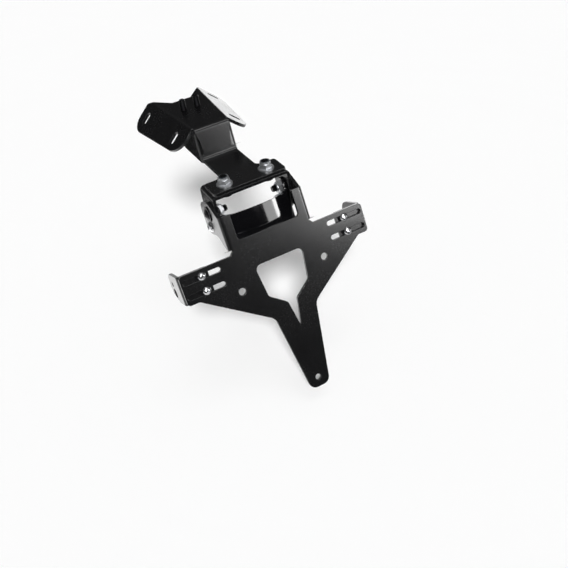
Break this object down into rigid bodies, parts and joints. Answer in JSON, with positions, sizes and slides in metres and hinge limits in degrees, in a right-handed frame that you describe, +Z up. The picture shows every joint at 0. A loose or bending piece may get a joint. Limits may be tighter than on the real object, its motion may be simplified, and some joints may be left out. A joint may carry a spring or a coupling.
{
  "type": "tail tidy",
  "caption": "Folded steel bracket that hangs a licence plate and two indicators behind a motorbike's tail, with a tilting plate and sliding side brackets",
  "frame": {"origin": "midway between the two studs, on the saddle's top face", "axes": "+X to the right seen from behind the bike, +Y forward along the bike, +Z up along the studs"},
  "size_m": [0.18, 0.2489, 0.2178],
  "materials": {
    "powder_coated_steel": "satin black powder coat on 3 mm folded steel sheet",
    "gloss_plastic": "moulded plastic sheet, high gloss",
    "zinc_plated_steel": "bright zinc plate",
    "black_steel": "black oxide",
    "stainless_steel": "plain stainless"
  },
  "bodies": {
    "hanger": {"upper_bracket": "powder_coated_steel", "left_stud": "black_steel", "right_stud": "black_steel", "hanger_bracket": "powder_coated_steel", "spray_guard": "gloss_plastic", "left_top_bolt": "zinc_plated_steel", "right_top_bolt": "zinc_plated_steel", "left_top_nut": "zinc_plated_steel", "right_top_nut": "zinc_plated_steel", "left_pivot_bolt": "black_steel", "right_pivot_bolt": "black_steel", "left_pivot_nut": "zinc_plated_steel", "right_pivot_nut": "zinc_plated_steel", "left_clamp_bolt": "stainless_steel", "right_clamp_bolt": "stainless_steel", "left_clamp_nut": "zinc_plated_steel", "right_clamp_nut": "zinc_plated_steel"},
    "plate": {"base_plate": "powder_coated_steel"},
    "left_indicator": {"left_indicator_bracket": "powder_coated_steel", "left_upper_screw": "stainless_steel", "left_lower_screw": "stainless_steel", "left_upper_nut": "zinc_plated_steel", "left_lower_nut": "zinc_plated_steel"},
    "right_indicator": {"right_indicator_bracket": "powder_coated_steel", "right_upper_screw": "stainless_steel", "right_lower_screw": "stainless_steel", "right_upper_nut": "zinc_plated_steel", "right_lower_nut": "zinc_plated_steel"}
  },
  "joints": [
    {"name": "plate_tilt", "type": "hinge", "parent": "hanger", "child": "plate", "pos_m": [0, -0.1096, -0.0497], "axis": [1, 0, 0], "range_deg": [-11.5, 11.5]},
    {"name": "left_indicator_slide", "type": "slide", "parent": "plate", "child": "left_indicator", "axis": [-1, 0, 0], "range_m": [-0.0148, 0.0148]},
    {"name": "right_indicator_slide", "type": "slide", "parent": "plate", "child": "right_indicator", "axis": [1, 0, 0], "range_m": [-0.0148, 0.0148]}
  ]
}
